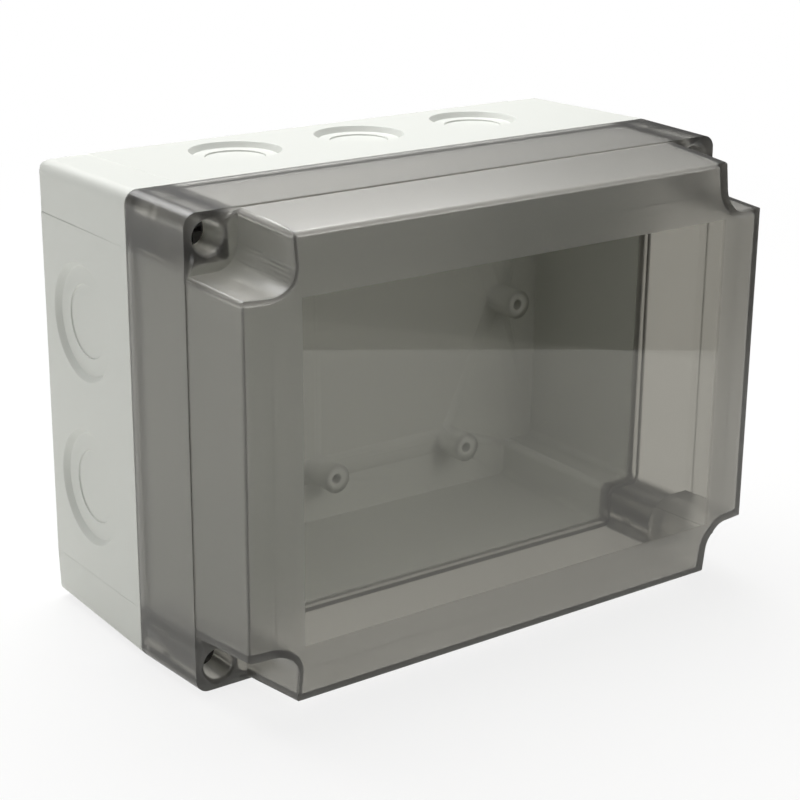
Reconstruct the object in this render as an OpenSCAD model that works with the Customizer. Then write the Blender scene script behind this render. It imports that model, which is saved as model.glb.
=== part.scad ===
// Wall-mounting enclosure: a deep moulded base and a deep transparent cover
// that meets it on a sealed rim.  Two screws close the left side.  On the right
// side the cover hangs on two stems, which draw out of the base as it swings.

/* [Overall] */
// Width at the joint between base and cover
body_w = 255; // [215:1:320]
// Height at the joint between base and cover
body_h = 184.5; // [160:0.5:240]
// Radius of the four edges that run from back to front
edge_r = 5.5; // [4:0.5:7]

/* [Base] */
// Depth of the base, from its back to its rim
base_d = 71.3; // [62:0.1:110]
// How far each side of the base draws in from rim to back
base_draft = 0.8; // [0.4:0.1:2]
// Side wall of the base at the rim
base_wall = 3.8; // [3.4:0.1:4.4]
// Back wall of the base
back_wall = 3; // [2.5:0.1:4]
// Width of a corner column, across the enclosure
column_w = 20; // [19.5:0.1:22]
// Height of a corner column
column_h = 20.5; // [20:0.1:23]
// Chamfer around the back of the base
back_chamfer = 1.5; // [0.5:0.1:2.5]
// How far the panel between two corners stands proud of them, at the back
panel_rise = 0.4; // [0.2:0.1:0.8]
// Distance of the panel's edge from the middle of a short side
panel_z = 71; // [60:0.5:74]
// Distance of the panel's edge from the middle of a long side
panel_x = 105; // [90:0.5:108]

/* [Cover] */
// Depth of the cover, from its rim to the faces of the screw towers
flange_d = 39.5; // [36:0.1:60]
// Height of the raised part in front of the towers, at its edge
raise_d = 32; // [10:0.5:60]
// How far the flat window stands in front of that edge
crown_d = 2.8; // [1:0.1:4]
// Wall of the cover
cover_wall = 2.9; // [2.5:0.1:3.1]
// How far each side of the flange draws in from rim to tower face
flange_draft = 1; // [0.2:0.1:1.4]
// Ledge between the flange and the raised part
ledge = 0.6; // [0.3:0.1:1]
// How far each side of the raised part draws in up to its edge
raise_draft = 2.5; // [0.5:0.1:3]
// Width of the notch that frees a screw tower
notch_w = 23; // [22:0.5:25]
// Height of the notch that frees a screw tower
notch_h = 23.4; // [22:0.1:25]
// Radius inside the notch
notch_r = 10.5; // [5:0.5:12]
// Radius outside the notch, where it meets the sides
notch_end_r = 1.8; // [0.5:0.1:2.5]
// Width of the sloping border around the window
border_w = 22.5; // [21:0.5:26]
// Radius along the front edge of the cover
front_r = 1; // [0.6:0.1:2.2]

/* [Rim seal] */
// Gap between the rims of base and cover
joint_gap = 0.4; // [0.2:0.1:0.6]
// Width of the bead on the rim of the base
bead_w = 1.2; // [0.8:0.1:1.4]
// Height of the bead
bead_h = 0.9; // [0.6:0.1:1.2]
// Width of the groove that holds the gasket
groove_w = 2; // [1.8:0.1:2.2]
// Depth of the groove
groove_d = 2.4; // [2:0.1:3]
// Thickness of the gasket
gasket_t = 1.6; // [1.2:0.1:1.8]
// Depth of the inner lip that carries the groove
lip_d = 5.5; // [4:0.5:8]

/* [Knock-outs] */
// Radius of a knock-out in a short side
short_r = 23.4; // [18:0.1:26]
// Radius of its inner ring
short_inner_r = 14.6; // [10:0.1:16]
// Distance between the two knock-outs of a short side
short_pitch = 67.6; // [56:0.1:80]
// Distance of their centres from the back
short_from_back = 33; // [30:0.5:36]
// Radius of a knock-out in a long side
long_r = 18.6; // [14:0.1:22]
// Radius of its inner ring
long_inner_r = 12; // [8:0.1:13]
// Distance between the three knock-outs of a long side
long_pitch = 59.5; // [48:0.1:66]
// How far the middle one lies right of the centre
long_offset = 4.5; // [0:0.1:6]
// Distance of their centres from the back
long_from_back = 29; // [26:0.5:34]
// Depth of a knock-out
knock_d = 2.4; // [1:0.1:2.4]
// Slope of its wall, as the width of the slope
knock_slope = 1.8; // [0.4:0.1:2]
// Depth of the inner ring below that
knock_step = 0.7; // [0.3:0.1:0.7]

/* [Bosses on the back wall] */
// Distance of the outer bosses from the middle
boss_x = 72; // [60:0.5:85]
// Distance of the boss rows from the middle
boss_z = 63.3; // [50:0.1:66]
// Distance of the side bosses from the middle
side_boss_x = 100; // [90:0.5:112]
// Height of a boss above the back of the enclosure
boss_top = 18; // [10:0.5:24]
// Diameter of a boss
boss_dia = 13; // [9:0.5:15]
// Diameter of the screw hole in a boss
boss_hole = 4.2; // [3:0.1:5]

/* [Cover fasteners] */
// Distance of a fastener from the side of the enclosure
fast_x = 11; // [10.5:0.1:12]
// Distance of a fastener from the top or bottom
fast_z = 10.5; // [10:0.1:12]
// Bore in the face of a tower
tower_bore = 12; // [11:0.1:12.6]
// Depth of that bore
tower_bore_d = 22; // [18:0.5:26]
// Web in the tower that the fastener pulls on
web_t = 6; // [4:0.5:8]
// Hole through the web
web_hole = 8; // [7.6:0.1:8.4]
// Bore behind the web
rear_bore = 11.2; // [10.6:0.1:11.4]
// Diameter of a fastener's head
head_dia = 11.4; // [10:0.1:11.6]
// Height of the head
head_h = 8; // [6:0.5:10]
// Diameter of a fastener's neck
neck_dia = 6.8; // [5.5:0.1:7]
// How far a latch screw reaches into the base
engage = 8.5; // [6:0.5:10]
// Thickness of the seal under a head
seal_t = 1.5; // [1:0.1:2]
// Bore of a corner column
column_bore = 11.6; // [11.2:0.1:12]
// Wall-fixing hole behind it
fixing_hole = 5; // [4:0.1:6]
// Solid back of a corner column, around the wall-fixing hole
fixing_t = 6; // [4:0.5:8]

/* [Hinge] */
// Distance of the hinge axis behind the rim of the cover
axis_back = 9; // [8.5:0.1:9.5]
// Diameter of a hinge stem
stem_dia = 7.8; // [7:0.1:8.4]
// Diameter of a hinge pin
pin_dia = 3; // [2.4:0.1:3.4]
// Thickness of the tongue between the ears of a stem
tongue_t = 3; // [2.4:0.1:3.4]
// How far a stem draws out as the cover opens
stem_travel = 27; // [27:0.5:28]
// Length of the guide that a stem slides in
guide_l = 12; // [8:0.5:14]

/* [Hidden] */
$fn = 48;

// Depths are measured forwards from the back of the enclosure
cover_d = base_d + joint_gap;
tower_d = cover_d + flange_d;
edge_d = tower_d + raise_d;
total_d = edge_d + crown_d;

// Inside of the base at the rim, and how far it draws in towards the back
well_w = body_w - 2 * base_wall;
well_h = body_h - 2 * base_wall;
well_draft = 0.8;
well_r = 3;

// Raised part of the cover, where it leaves the flange
raise_in = flange_draft + ledge;
raise_w = body_w - 2 * raise_in;
raise_h = body_h - 2 * raise_in;
window_w = body_w - 2 * (raise_in + raise_draft + border_w);
window_h = body_h - 2 * (raise_in + raise_draft + border_w);

// Angle at which the sides of the base draw in
base_slope = atan(base_draft / base_d);

// Sealing line: offsets from the inside of the base, outwards
bead_in = 0.6;
seal_mid = bead_in + bead_w / 2;
lip_in = 1;
groove_fit = 0.05;

// Towers and fasteners along the depth
web_front = tower_d - tower_bore_d;
web_back = web_front - web_t;
head_back = web_front + seal_t + 0.1;
head_front = head_back + head_h;
screw_tip = cover_d - engage;
mouth_r = 7.4;
mouth_d = 1.4;
slot_w = 2;
slot_d = 3;

// Retaining clip of a latch screw
clip_t = 1.2;
clip_d = cover_d + 1.4;
clip_groove = 5.6;
clip_dia = 10.2;
clip_fit = 0.1;

// Socket of a latch screw in its column
sleeve_fit = 0.05;
sleeve_dia = column_bore - 2 * sleeve_fit;
socket_bore = 8.2;
socket_l = 18;
socket_top = base_d - 0.8;

// Hinge
axis_d = cover_d - axis_back;
run_fit = 0.05;
ear_gap = 0.2;
tongue_w = 7.6;
fork_depth = 5.8;
knuckle_dia = rear_bore - 0.2;
knuckle_h = 5;
stop_t = 2.5;
stop_groove = 5.8;
stop_dia = column_bore - 0.6;
stem_back = 7;
stop_back = stem_back + 1;
guide_back = stop_back + stop_t + stem_travel + 0.5;

// Colours
shell_grey = "#C9CBC6";
smoke = [0.30, 0.30, 0.28, 0.55];
fastener_grey = "#33322F";
seal_black = "#1E1E1D";
gasket_grey = "#5B5C59";
steel = "#A9ADB0";

// Puts a front view, centred on the enclosure, at a depth from its back
module at_depth(d = 0)
    translate([0, total_d / 2 - d, body_h / 2]) rotate([90, 0, 0]) children();

// Repeats a shape at the four corners, mirrored
module corners()
    for (sx = [-1, 1], sy = [-1, 1]) scale([sx, sy]) children();

// Repeats a solid at the four fasteners
module at_fasteners()
    for (sx = [-1, 1], sy = [-1, 1])
        translate([sx * (body_w / 2 - fast_x), sy * (body_h / 2 - fast_z), 0]) children();

// Extrudes an outline that measures w by h, drawing each side in by inset
module draw_in(length, w, h, inset)
    linear_extrude(height = length, scale = [1 - 2 * inset / w, 1 - 2 * inset / h], slices = 1)
        children();

module rounded_outline(w, h, r)
    offset(r = r, $fn = 40) square([w - 2 * r, h - 2 * r], center = true);

// Inside of the base at the rim, with the corner columns left standing
module well_outline(grow = 0)
    offset(delta = grow) offset(r = well_r, $fn = 24) offset(r = -2 * well_r, $fn = 24)
        offset(r = well_r, $fn = 24) difference() {
            square([well_w, well_h], center = true);
            corners()
                translate([body_w / 2 - column_w, body_h / 2 - column_h])
                    square([column_w, column_h]);
        }

// Outline of the raised part of the cover, cut away around the towers
module raised_outline(inset = 0)
    offset(r = -inset, $fn = 32) offset(r = notch_end_r, $fn = 32)
        offset(r = -notch_r - notch_end_r, $fn = 48) offset(delta = notch_r)
            difference() {
                square([raise_w, raise_h], center = true);
                corners()
                    translate([body_w / 2 - notch_w, body_h / 2 - notch_h])
                        square([notch_w, notch_h]);
            }

// ---- Base ----

// A knock-out seen from outside, sunk into the plane z = 0
module knock_out(r, inner_r) {
    translate([0, 0, -knock_d])
        cylinder(h = knock_d + 1, r1 = r - knock_slope, r2 = r + knock_slope / knock_d);
    translate([0, 0, -knock_d - knock_step])
        cylinder(h = knock_d, r = inner_r);
}

// How far a side of the base has drawn in at a distance from its back
function drawn_in(from_back) = base_draft * (1 - from_back / base_d);

module short_side_knock_outs()
    for (side = [-1, 1], row = [-0.5, 0.5])
        translate([side * (body_w / 2 - drawn_in(short_from_back)), row * short_pitch,
                   short_from_back])
            rotate([0, side * (90 + base_slope), 0]) knock_out(short_r, short_inner_r);

module long_side_knock_outs()
    for (side = [-1, 1], column = [-1:1])
        translate([long_offset + column * long_pitch,
                   side * (body_h / 2 - drawn_in(long_from_back)), long_from_back])
            rotate([-side * (90 + base_slope), 0, 0]) knock_out(long_r, long_inner_r);

// Outside of the base, with each side drawn in by inset at the back
module base_block(inset)
    translate([0, 0, base_d]) mirror([0, 0, 1])
        draw_in(base_d, body_w, body_h, inset) rounded_outline(body_w, body_h, edge_r);

// Middle of each side, where the panels stand proud of the corners
module panel_band()
    translate([0, 0, -1]) linear_extrude(height = base_d + 2) {
        square([2 * panel_x, 2 * body_h], center = true);
        square([2 * body_w, 2 * panel_z], center = true);
    }

module boss_at(x, z)
    translate([x, z, back_wall - 0.5]) cylinder(h = boss_top - back_wall + 0.5, d = boss_dia);

module boss_hole_at(x, z)
    translate([x, z, back_wall]) {
        cylinder(h = boss_top, d = boss_hole);
        translate([0, 0, boss_top - back_wall - 0.6])
            cylinder(h = 1.2, d1 = boss_hole, d2 = boss_hole + 2.4);
    }

boss_places = concat([for (x = [-boss_x, 0, boss_x], z = [-boss_z, boss_z]) [x, z]],
                     [[-side_boss_x, 0], [side_boss_x, 0]]);

module base_shell()
    color(shell_grey) at_depth() difference() {
        union() {
            difference() {
                intersection() {
                    union() {
                        base_block(base_draft + panel_rise);
                        intersection() {
                            base_block(base_draft);
                            panel_band();
                        }
                    }
                    back_edge();
                }
                translate([0, 0, base_d + 0.01]) mirror([0, 0, 1])
                    draw_in(base_d - back_wall, well_w, well_h, well_draft) well_outline();
                short_side_knock_outs();
                long_side_knock_outs();
            }
            for (p = boss_places) boss_at(p[0], p[1]);
            translate([0, 0, base_d - 0.01])
                linear_extrude(height = bead_h + 0.01) difference() {
                    well_outline(bead_in + bead_w);
                    well_outline(bead_in);
                }
        }
        for (p = boss_places) boss_hole_at(p[0], p[1]);
        at_fasteners() {
            translate([0, 0, fixing_t]) cylinder(h = base_d, d = column_bore);
            translate([0, 0, -1]) cylinder(h = fixing_t + 2, d = fixing_hole);
        }
    }

// Block that chamfers the back of the base all round
module back_edge() {
    back_w = body_w - 2 * base_draft;
    back_h = body_h - 2 * base_draft;
    hull() {
        translate([0, 0, 0.05])
            cube([back_w - 2 * back_chamfer, back_h - 2 * back_chamfer, 0.1], center = true);
        translate([-body_w, -body_h, body_w / 2]) cube([2 * body_w, 2 * body_h, 1]);
    }
}

// ---- Cover ----

// Solid that gives the raised part its sloping border and rounded front edge
module crown_block(inset) {
    w = raise_w - 2 * raise_draft;
    h = raise_h - 2 * raise_draft;
    steps = 4;
    hull() {
        translate([-raise_w / 2 - 1, -raise_h / 2 - 1, -2 * cover_wall])
            cube([raise_w + 2, raise_h + 2, 1]);
        for (a = [0:90 / steps:90])
            translate([0, 0, raise_d - inset - front_r * (1 - sin(a))])
                linear_extrude(height = 0.01)
                    square([w - 2 * front_r * (1 - cos(a)), h - 2 * front_r * (1 - cos(a))],
                           center = true);
        translate([-window_w / 2, -window_h / 2, raise_d + crown_d - inset - 0.01])
            cube([window_w, window_h, 0.01]);
    }
}

module cover_outside() {
    translate([0, 0, cover_d])
        draw_in(flange_d, body_w, body_h, flange_draft)
            rounded_outline(body_w, body_h, edge_r);
    translate([0, 0, tower_d - 0.01]) intersection() {
        draw_in(raise_d + crown_d, raise_w, raise_h, raise_draft) raised_outline();
        crown_block(0);
    }
}

module cover_inside() {
    translate([0, 0, cover_d - 1]) linear_extrude(height = lip_d + 1) well_outline(-lip_in);
    translate([0, 0, cover_d + lip_d - 0.01])
        draw_in(flange_d - lip_d - cover_wall, body_w, body_h, flange_draft)
            well_outline(base_wall - cover_wall);
    translate([0, 0, tower_d - cover_wall - 0.02]) intersection() {
        draw_in(raise_d + crown_d + cover_wall, raise_w, raise_h, raise_draft)
            raised_outline(cover_wall);
        translate([0, 0, cover_wall]) crown_block(cover_wall);
    }
    translate([0, 0, cover_d - 1]) linear_extrude(height = groove_d + 1)
        difference() {
            well_outline(seal_mid + groove_w / 2);
            well_outline(seal_mid - groove_w / 2);
        }
}

module cover_shell()
    color(smoke) at_depth() difference() {
        cover_outside();
        cover_inside();
        at_fasteners() {
            translate([0, 0, web_front]) cylinder(h = tower_bore_d + 1, d = tower_bore);
            translate([0, 0, tower_d - mouth_d])
                cylinder(h = mouth_d + 0.01, r1 = tower_bore / 2, r2 = mouth_r);
            translate([0, 0, web_back - 1]) cylinder(h = web_t + 2, d = web_hole);
            translate([0, 0, cover_d - 1]) cylinder(h = web_back - cover_d + 1, d = rear_bore);
        }
    }

module cover_gasket()
    color(gasket_grey) at_depth(cover_d + groove_d - gasket_t - 0.02)
        linear_extrude(height = gasket_t) difference() {
            well_outline(seal_mid + groove_w / 2 - groove_fit);
            well_outline(seal_mid - groove_w / 2 + groove_fit);
        }

// ---- Fasteners; side is -1 on the left and 1 on the right, end is 1 at the top ----

module at_fastener(side, end, d)
    at_depth(d)
        translate([side * (body_w / 2 - fast_x), end * (body_h / 2 - fast_z), 0]) children();

module driver_slots()
    for (turn = [0, 90]) rotate([0, 0, turn])
        translate([-head_dia / 2 + 1.2, -slot_w / 2, 0]) cube([head_dia - 2.4, slot_w, slot_d + 1]);

module fastener_head() {
    edge = 0.8;
    difference() {
        union() {
            cylinder(h = head_h - edge, d = head_dia);
            translate([0, 0, head_h - edge])
                cylinder(h = edge, d1 = head_dia, d2 = head_dia - 2 * edge);
        }
        translate([0, 0, head_h - slot_d]) driver_slots();
    }
}

module latch_screw(end)
    color(fastener_grey) at_fastener(-1, end, 0) {
        translate([0, 0, head_back]) fastener_head();
        difference() {
            union() {
                translate([0, 0, screw_tip + 1])
                    cylinder(h = head_back - screw_tip - 1, d = neck_dia);
                translate([0, 0, screw_tip]) cylinder(h = 1, d1 = neck_dia - 2, d2 = neck_dia);
            }
            translate([0, 0, clip_d - clip_fit]) difference() {
                cylinder(h = clip_t + 2 * clip_fit, d = neck_dia + 1);
                cylinder(h = clip_t + 2 * clip_fit, d = clip_groove);
            }
        }
    }

module head_seal(side, end)
    color(seal_black) at_fastener(side, end, web_front)
        difference() {
            cylinder(h = seal_t, d = head_dia);
            translate([0, 0, -1]) cylinder(h = seal_t + 2, d = neck_dia + 0.1);
        }

module latch_clip(end)
    color(steel) at_fastener(-1, end, clip_d)
        difference() {
            cylinder(h = clip_t, d = clip_dia);
            translate([0, 0, -1]) cylinder(h = clip_t + 2, d = clip_groove + 2 * clip_fit);
            translate([0, -clip_groove / 2 + 0.5, -1])
                cube([clip_dia, clip_groove - 1, clip_t + 2]);
        }

module latch_socket(end)
    color(fastener_grey) at_fastener(-1, end, socket_top - socket_l)
        difference() {
            cylinder(h = socket_l, d = sleeve_dia);
            translate([0, 0, -1]) cylinder(h = socket_l + 2, d = socket_bore);
            translate([0, 0, socket_l - 0.8])
                cylinder(h = 0.81, d1 = socket_bore, d2 = socket_bore + 1.6);
        }

// ---- Hinge ----

module hinge_head(end)
    color(fastener_grey) at_fastener(1, end, 0) {
        translate([0, 0, head_back]) fastener_head();
        translate([0, 0, web_back - 4]) cylinder(h = head_back - web_back + 4, d = neck_dia);
    }

// Disc in the bore behind the web, with a tongue that reaches back to the pin
module hinge_knuckle(end)
    color(fastener_grey) at_fastener(1, end, 0) difference() {
        union() {
            translate([0, 0, web_back - knuckle_h - 0.1]) cylinder(h = knuckle_h, d = knuckle_dia);
            translate([-tongue_w / 2, -tongue_t / 2, axis_d])
                cube([tongue_w, tongue_t, web_back - knuckle_h - axis_d]);
            translate([0, 0, axis_d]) rotate([90, 0, 0])
                cylinder(h = tongue_t, d = tongue_w, center = true);
        }
        translate([0, 0, web_back - 4.2]) cylinder(h = 6, d = neck_dia + 2 * run_fit);
        translate([0, 0, axis_d]) rotate([90, 0, 0])
            cylinder(h = tongue_t + 2, d = pin_dia + 2 * run_fit, center = true);
    }

module hinge_pin(end)
    color(steel) at_fastener(1, end, axis_d) rotate([90, 0, 0])
        cylinder(h = stem_dia - 1, d = pin_dia, center = true);

module hinge_stem(end)
    color(fastener_grey) at_fastener(1, end, 0) difference() {
        union() {
            translate([0, 0, stem_back]) cylinder(h = axis_d - stem_back, d = stem_dia);
            intersection() {
                translate([0, 0, axis_d - 1]) cylinder(h = stem_dia, d = stem_dia);
                translate([0, 0, axis_d]) rotate([90, 0, 0])
                    cylinder(h = stem_dia + 2, d = tongue_w, center = true);
            }
        }
        translate([-stem_dia, -tongue_t / 2 - ear_gap, axis_d - fork_depth])
            cube([2 * stem_dia, tongue_t + 2 * ear_gap, fork_depth + stem_dia]);
        translate([0, 0, axis_d]) rotate([90, 0, 0])
            cylinder(h = stem_dia + 2, d = pin_dia + 0.04, center = true);
        translate([0, 0, stop_back - 0.1]) difference() {
            cylinder(h = stop_t + 0.2, d = stem_dia + 1);
            cylinder(h = stop_t + 0.2, d = stop_groove);
        }
    }

module hinge_stop(end)
    color(steel) at_fastener(1, end, stop_back)
        difference() {
            cylinder(h = stop_t, d = stop_dia);
            translate([0, 0, -1]) cylinder(h = stop_t + 2, d = stop_groove + 0.1);
        }

module hinge_guide(end)
    color(fastener_grey) at_fastener(1, end, guide_back)
        difference() {
            cylinder(h = guide_l, d = sleeve_dia);
            translate([0, 0, -1]) cylinder(h = guide_l + 2, d = stem_dia + 2 * run_fit);
        }

base_shell();
cover_shell();
cover_gasket();
latch_screw(1);  // latch_screw_top
latch_screw(-1);  // latch_screw_bottom
head_seal(-1, 1);  // latch_seal_top
head_seal(-1, -1);  // latch_seal_bottom
latch_clip(1);  // latch_clip_top
latch_clip(-1);  // latch_clip_bottom
latch_socket(1);  // latch_socket_top
latch_socket(-1);  // latch_socket_bottom
hinge_head(1);  // hinge_head_top
hinge_head(-1);  // hinge_head_bottom
head_seal(1, 1);  // hinge_seal_top
head_seal(1, -1);  // hinge_seal_bottom
hinge_knuckle(1);  // hinge_knuckle_top
hinge_knuckle(-1);  // hinge_knuckle_bottom
hinge_pin(1);  // hinge_pin_top
hinge_pin(-1);  // hinge_pin_bottom
hinge_stem(1);  // hinge_stem_top
hinge_stem(-1);  // hinge_stem_bottom
hinge_stop(1);  // hinge_stop_top
hinge_stop(-1);  // hinge_stop_bottom
hinge_guide(1);  // hinge_guide_top
hinge_guide(-1);  // hinge_guide_bottom
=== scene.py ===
import math

import bmesh
import bpy
from mathutils import Matrix, Vector


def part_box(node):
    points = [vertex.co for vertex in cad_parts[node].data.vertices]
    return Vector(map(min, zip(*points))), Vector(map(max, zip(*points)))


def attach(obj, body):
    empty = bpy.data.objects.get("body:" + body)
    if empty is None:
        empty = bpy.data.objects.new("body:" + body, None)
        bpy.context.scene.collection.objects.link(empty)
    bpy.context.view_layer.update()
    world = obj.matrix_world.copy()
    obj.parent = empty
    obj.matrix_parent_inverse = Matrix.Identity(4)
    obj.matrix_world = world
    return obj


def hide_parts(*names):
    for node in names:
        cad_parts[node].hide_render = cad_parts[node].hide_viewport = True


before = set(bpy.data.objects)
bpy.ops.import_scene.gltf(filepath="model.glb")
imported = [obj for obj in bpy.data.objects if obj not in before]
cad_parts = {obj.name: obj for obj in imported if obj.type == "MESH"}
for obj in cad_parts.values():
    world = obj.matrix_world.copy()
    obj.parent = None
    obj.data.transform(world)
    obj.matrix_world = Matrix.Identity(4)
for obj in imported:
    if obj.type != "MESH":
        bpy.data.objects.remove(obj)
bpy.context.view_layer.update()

scene = bpy.context.scene
mm = 0.001

# ---- Studio -------------------------------------------------------------
# White paper on a table, under a large overhead soft box and weaker ones on
# the left and in front.  Mirrors show the table as ending, and a dim room past
# its edge, and the polished window of the cover shows that edge.

CAMERA_AT = (-0.44750, -0.60085, 0.33615)
CAMERA_AIM = (0.00380, 0.01300, 0.07695)
CAMERA_LENS = 86.886
CAMERA_ROLL = math.radians(0.45)
TABLE_EDGE = 0.646
TABLE_REACH = 60.0
TABLE_DROP = 0.2 * mm


def linear(hex_code):
    """Turns an sRGB hex colour into the linear colour that the shaders take."""
    parts = [int(hex_code[i : i + 2], 16) / 255 for i in (1, 3, 5)]
    return [p / 12.92 if p <= 0.04045 else ((p + 0.055) / 1.055) ** 2.4 for p in parts] + [1]


def add(tree, kind, settings=None, **inputs):
    """Adds a node. An input is a value or a socket, and its key a name or _ and its number."""
    node = tree.nodes.new(kind)
    for name, value in (settings or {}).items():
        setattr(node, name, value)
    for name, value in inputs.items():
        socket = node.inputs[int(name[1:]) if name[0] == "_" else name.replace("_", " ")]
        if isinstance(value, bpy.types.NodeSocket):
            tree.links.new(value, socket)
        else:
            socket.default_value = value
    return node


def new_material(name):
    material = bpy.data.materials.new(name)
    material.use_nodes = True
    material.node_tree.nodes.clear()
    return material, material.node_tree


def seen_plainly(tree):
    """1 for rays that show the studio to the camera, straight, mirrored or through the cover."""
    path = add(tree, "ShaderNodeLightPath")
    direct = add(tree, "ShaderNodeMath", {"operation": "MAXIMUM"},
                 _0=path.outputs["Is Camera Ray"], _1=path.outputs["Is Glossy Ray"])
    shown = add(tree, "ShaderNodeMath", {"operation": "MAXIMUM"},
                _0=direct.outputs[0], _1=path.outputs["Is Transmission Ray"])
    first = add(tree, "ShaderNodeMath", {"operation": "LESS_THAN"},
                _0=path.outputs["Diffuse Depth"], _1=0.5)
    return add(tree, "ShaderNodeMath", {"operation": "MULTIPLY"},
               _0=shown.outputs[0], _1=first.outputs[0]).outputs[0]


def facing(place, target):
    turn = (Vector(target) - Vector(place)).to_track_quat("-Z", "Y")
    return Matrix.Translation(place) @ turn.to_matrix().to_4x4()


camera_data = bpy.data.cameras.new("camera")
camera_data.lens = CAMERA_LENS
camera_data.sensor_width = 36
camera = bpy.data.objects.new("camera", camera_data)
camera.matrix_world = facing(CAMERA_AT, CAMERA_AIM) @ Matrix.Rotation(CAMERA_ROLL, 4, "Z")
scene.collection.objects.link(camera)
scene.camera = camera
scene.view_settings.view_transform = "Standard"

world = bpy.data.worlds.new("studio")
world.use_nodes = True
tree = world.node_tree
tree.nodes.clear()
lighting = add(tree, "ShaderNodeBackground", Color=linear("#FFFFFF"), Strength=0.42)
backdrop = add(tree, "ShaderNodeBackground", Color=linear("#FFFFFF"), Strength=1.0)
either = add(tree, "ShaderNodeMixShader", _0=seen_plainly(tree),
             _1=lighting.outputs[0], _2=backdrop.outputs[0])
add(tree, "ShaderNodeOutputWorld", Surface=either.outputs[0])

for name, place, side, watts in (("overhead_soft_box", (0.12, 0.50, 1.10), 1.2, 21.0),
                                 ("left_soft_box", (-1.3, 0.1, 0.45), 0.9, 4.8),
                                 ("front_soft_box", (0.35, -1.3, 0.85), 0.8, 4.6)):
    lamp = bpy.data.lights.new(name, "AREA")
    lamp.size = side
    lamp.energy = watts
    soft_box = bpy.data.objects.new(name, lamp)
    soft_box.matrix_world = facing(place, (0, 0, 0.09))
    scene.collection.objects.link(soft_box)

paper, tree = new_material("white_paper")
matt = add(tree, "ShaderNodeBsdfDiffuse", Color=linear("#F4F4F2"))
bright = add(tree, "ShaderNodeEmission", Color=linear("#FFFFFF"), Strength=1.0)
geometry = add(tree, "ShaderNodeNewGeometry")
reach = add(tree, "ShaderNodeVectorMath", {"operation": "LENGTH"}, _0=geometry.outputs["Position"])
fade = add(tree, "ShaderNodeMapRange", Value=reach.outputs["Value"], From_Min=0.15, From_Max=0.9,
           To_Min=0.80, To_Max=1.0)
overlit = add(tree, "ShaderNodeMixShader", _0=fade.outputs[0], _1=matt.outputs[0],
              _2=bright.outputs[0])
place = add(tree, "ShaderNodeSeparateXYZ", Vector=geometry.outputs["Position"])
across = add(tree, "ShaderNodeMath", {"operation": "SUBTRACT"}, _0=place.outputs["X"],
             _1=place.outputs["Y"])
beyond = add(tree, "ShaderNodeMath", {"operation": "GREATER_THAN"}, _0=across.outputs[0],
             _1=TABLE_EDGE)
surroundings = add(tree, "ShaderNodeMixRGB", Fac=beyond.outputs[0], Color1=linear("#E6E5E1"),
                   Color2=linear("#4C4A48"))
dimmer = add(tree, "ShaderNodeEmission", Color=surroundings.outputs[0], Strength=1.0)
path = add(tree, "ShaderNodeLightPath")
mirrored = add(tree, "ShaderNodeMixShader", _0=path.outputs["Is Glossy Ray"],
               _1=overlit.outputs[0], _2=dimmer.outputs[0])
either = add(tree, "ShaderNodeMixShader", _0=seen_plainly(tree),
             _1=matt.outputs[0], _2=mirrored.outputs[0])
add(tree, "ShaderNodeOutputMaterial", Surface=either.outputs[0])

mesh = bpy.data.meshes.new("table")
mesh.from_pydata([(x * TABLE_REACH, y * TABLE_REACH, -TABLE_DROP)
                  for x, y in ((-1, -1), (1, -1), (1, 1), (-1, 1))], [], [(0, 1, 2, 3)])
mesh.materials.append(paper)
table = bpy.data.objects.new("table", mesh)
scene.collection.objects.link(table)

# ---- Base ---------------------------------------------------------------
# One moulding in light grey polycarbonate, with the knock-outs, the screw
# bosses and the corner columns in it.  The mould was spark-eroded, which
# leaves a fine even grain, and it leaves a small radius on each edge.

EDGE_MIN = 1.2 * mm
SHARP = math.radians(35)
FLAT = math.radians(0.4)


def softened(name, body, material, width, shrink=0):
    """A copy of a solid with its sharp edges rounded, in place of it."""
    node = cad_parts[name]
    shape = bmesh.new()
    shape.from_mesh(node.data)
    bmesh.ops.remove_doubles(shape, verts=shape.verts, dist=0.002 * mm)
    bmesh.ops.dissolve_limit(shape, angle_limit=FLAT, verts=shape.verts,
                             edges=shape.edges)
    bmesh.ops.triangulate(shape, faces=[f for f in shape.faces if len(f.verts) > 4])
    edges = [e for e in shape.edges if len(e.link_faces) == 2
             and e.calc_face_angle(0) > SHARP and e.calc_length() > EDGE_MIN]
    bmesh.ops.bevel(shape, geom=edges, offset=width, segments=2, profile=0.5,
                    affect="EDGES", clamp_overlap=False)
    if shrink:
        shape.normal_update()
        for corner in shape.verts:
            corner.co -= corner.normal * shrink
    mesh = bpy.data.meshes.new(name + "_skin")
    shape.to_mesh(mesh)
    shape.free()
    mesh.shade_smooth()
    mesh.set_sharp_from_angle(angle=SHARP)
    mesh.materials.append(material)
    piece = bpy.data.objects.new(name + "_moulding", mesh)
    scene.collection.objects.link(piece)
    piece.modifiers.new("flat_faces", "WEIGHTED_NORMAL").keep_sharp = True
    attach(piece, body)
    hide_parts(name)
    return piece


base_plastic, tree = new_material("moulded_light_grey_polycarbonate")
place = add(tree, "ShaderNodeTexCoord")
grain = add(tree, "ShaderNodeTexNoise", {"noise_dimensions": "3D"},
            Vector=place.outputs["Object"], Scale=1 / (0.9 * mm), Detail=3.0, Roughness=0.6)
bumps = add(tree, "ShaderNodeBump", Strength=0.25, Distance=0.05 * mm,
            Height=grain.outputs["Fac"])
surface = add(tree, "ShaderNodeBsdfPrincipled", Base_Color=linear("#D6D8D2"), Roughness=0.48,
              IOR=1.585, Normal=bumps.outputs[0])
add(tree, "ShaderNodeOutputMaterial", Surface=surface.outputs[0])
softened("base_shell", "base", base_plastic, 0.3 * mm)

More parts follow.
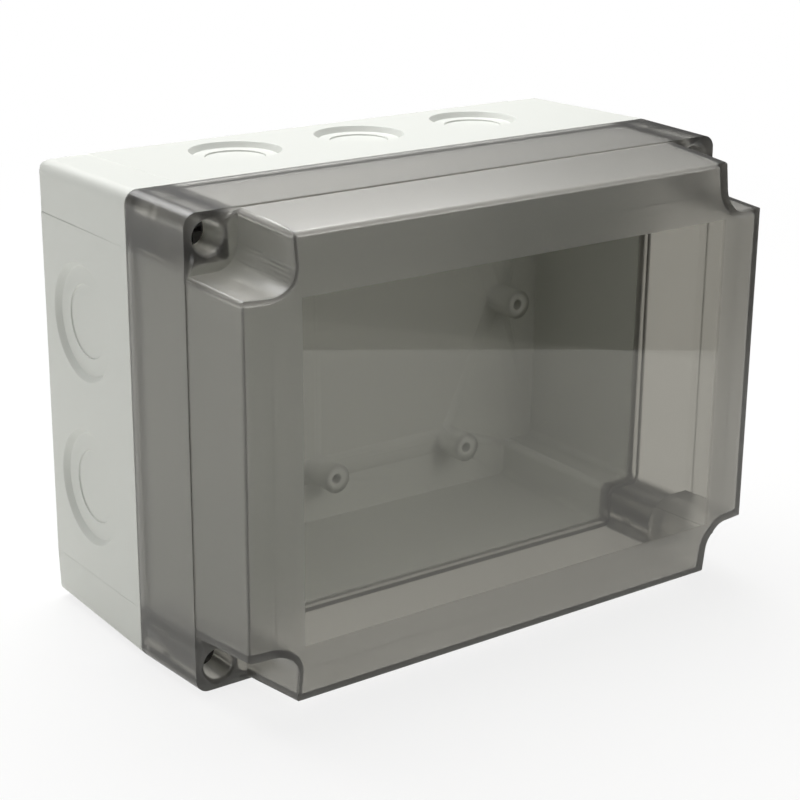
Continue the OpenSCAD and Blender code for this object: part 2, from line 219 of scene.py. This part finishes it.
# ---- Cover --------------------------------------------------------------
# One moulding in smoked transparent polycarbonate, 2.9 mm thick.  Its window
# is polished inside and out.  The border, the sides and the screw towers have
# a fine grain, so that what is behind them only shows as light and dark.

SMOKE = [0.40, 0.39, 0.35, 1]
SMOKE_DENSITY = 140.0


smoked, tree = new_material("smoked_polycarbonate")
polish = add(tree, "ShaderNodeAttribute", {"attribute_name": "polished"}).outputs["Fac"]
roughness = add(tree, "ShaderNodeMapRange", Value=polish, To_Min=0.31, To_Max=0.02)
clear_share = add(tree, "ShaderNodeMapRange", Value=polish, To_Min=0.95, To_Max=1.0)
lamp_share = add(tree, "ShaderNodeMapRange", Value=polish, To_Min=0.92, To_Max=0.98)
place = add(tree, "ShaderNodeTexCoord")
grain = add(tree, "ShaderNodeTexNoise", Vector=place.outputs["Object"], Scale=1 / (0.7 * mm),
            Detail=2.0)
relief = add(tree, "ShaderNodeMapRange", Value=polish, To_Min=0.25, To_Max=0.0)
bumps = add(tree, "ShaderNodeBump", Strength=relief.outputs[0], Distance=0.05 * mm,
            Height=grain.outputs["Fac"])
clear = add(tree, "ShaderNodeBsdfPrincipled", Base_Color=linear("#F4F3F0"),
            Roughness=roughness.outputs[0], IOR=1.585,
            Transmission_Weight=clear_share.outputs[0], Normal=bumps.outputs[0])
for_lamps = add(tree, "ShaderNodeBsdfTransparent", Color=lamp_share.outputs[0])
path = add(tree, "ShaderNodeLightPath")
both = add(tree, "ShaderNodeMixShader", _0=path.outputs["Is Shadow Ray"],
           _1=clear.outputs[0], _2=for_lamps.outputs[0])
body = add(tree, "ShaderNodeVolumeAbsorption", Color=SMOKE, Density=SMOKE_DENSITY)
add(tree, "ShaderNodeOutputMaterial", Surface=both.outputs[0], Volume=body.outputs[0])

cover = softened("cover_shell", "cover", smoked, 0.3 * mm)
WINDOW_DEPTH = 3.5 * mm  # a little more than the wall, to take in its inner face
window_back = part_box("cover_shell")[0][1] + WINDOW_DEPTH
polished = cover.data.attributes.new("polished", "FLOAT", "FACE")
for face in cover.data.polygons:
    in_window = face.center.y < window_back and abs(face.normal.y) > 0.9999
    polished.data[face.index].value = 1.0 if in_window else 0.0

# ---- Rim seal -----------------------------------------------------------
# Polyurethane foamed into the groove of the cover: soft, dull and grey.

foam, tree = new_material("foamed_polyurethane")
place = add(tree, "ShaderNodeTexCoord")
cells = add(tree, "ShaderNodeTexNoise", Vector=place.outputs["Object"], Scale=1 / (0.5 * mm),
            Detail=2.0)
bumps = add(tree, "ShaderNodeBump", Strength=0.4, Distance=0.1 * mm, Height=cells.outputs["Fac"])
surface = add(tree, "ShaderNodeBsdfPrincipled", Base_Color=linear("#6A6B68"), Roughness=0.85,
              Normal=bumps.outputs[0])
add(tree, "ShaderNodeOutputMaterial", Surface=surface.outputs[0])
softened("cover_gasket", "cover", foam, 0.35 * mm)

# ---- Fasteners and hinge ------------------------------------------------
# The screws, hinge heads, stems and sockets are moulded in dark polyamide,
# which has a satin face.

polyamide, tree = new_material("moulded_dark_polyamide")
place = add(tree, "ShaderNodeTexCoord")
flow = add(tree, "ShaderNodeTexNoise", Vector=place.outputs["Object"], Scale=1 / (0.6 * mm),
           Detail=3.0)
satin = add(tree, "ShaderNodeMapRange", Value=flow.outputs["Fac"], To_Min=0.34, To_Max=0.52)
bumps = add(tree, "ShaderNodeBump", Strength=0.2, Distance=0.03 * mm, Height=flow.outputs["Fac"])
surface = add(tree, "ShaderNodeBsdfPrincipled", Base_Color=linear("#2E2D2B"),
              Roughness=satin.outputs[0], IOR=1.53, Normal=bumps.outputs[0])
add(tree, "ShaderNodeOutputMaterial", Surface=surface.outputs[0])

rubber, tree = new_material("moulded_black_rubber")
place = add(tree, "ShaderNodeTexCoord")
bloom = add(tree, "ShaderNodeTexNoise", Vector=place.outputs["Object"], Scale=1 / (1.2 * mm),
            Detail=4.0)
dust = add(tree, "ShaderNodeMixRGB", Fac=bloom.outputs["Fac"], Color1=linear("#151514"),
           Color2=linear("#222120"))
surface = add(tree, "ShaderNodeBsdfPrincipled", Base_Color=dust.outputs[0], Roughness=0.7,
              IOR=1.52)
add(tree, "ShaderNodeOutputMaterial", Surface=surface.outputs[0])

steel, tree = new_material("zinc_plated_spring_steel")
place = add(tree, "ShaderNodeTexCoord")
spangle = add(tree, "ShaderNodeTexVoronoi", Vector=place.outputs["Object"], Scale=1 / (0.8 * mm))
sheen = add(tree, "ShaderNodeMapRange", Value=spangle.outputs["Distance"], To_Min=0.24,
            To_Max=0.42)
surface = add(tree, "ShaderNodeBsdfPrincipled", Base_Color=linear("#B9BCBE"),
              Roughness=sheen.outputs[0], Metallic=1.0)
add(tree, "ShaderNodeOutputMaterial", Surface=surface.outputs[0])

SEAL_PLAY = 0.03 * mm  # keeps a seal off the wall of its bore

for end in ("top", "bottom"):
    for kind, body, slot, material in (
            ("latch_screw", "latch_screw_" + end, "fastener_polyamide", polyamide),
            ("latch_seal", "latch_carrier_" + end, "seal_rubber", rubber),
            ("latch_clip", "latch_carrier_" + end, "spring_steel", steel),
            ("latch_socket", "base", "fastener_polyamide", polyamide),
            ("hinge_head", "cover", "fastener_polyamide", polyamide),
            ("hinge_seal", "cover", "seal_rubber", rubber),
            ("hinge_knuckle", "cover", "fastener_polyamide", polyamide),
            ("hinge_pin", "hinge_stems", "spring_steel", steel),
            ("hinge_stem", "hinge_stems", "fastener_polyamide", polyamide),
            ("hinge_stop", "hinge_stems", "spring_steel", steel),
            ("hinge_guide", "base", "fastener_polyamide", polyamide)):
        softened(kind + "_" + end, body, material, 0.2 * mm,
                 shrink=SEAL_PLAY if kind == "latch_seal" else 0)
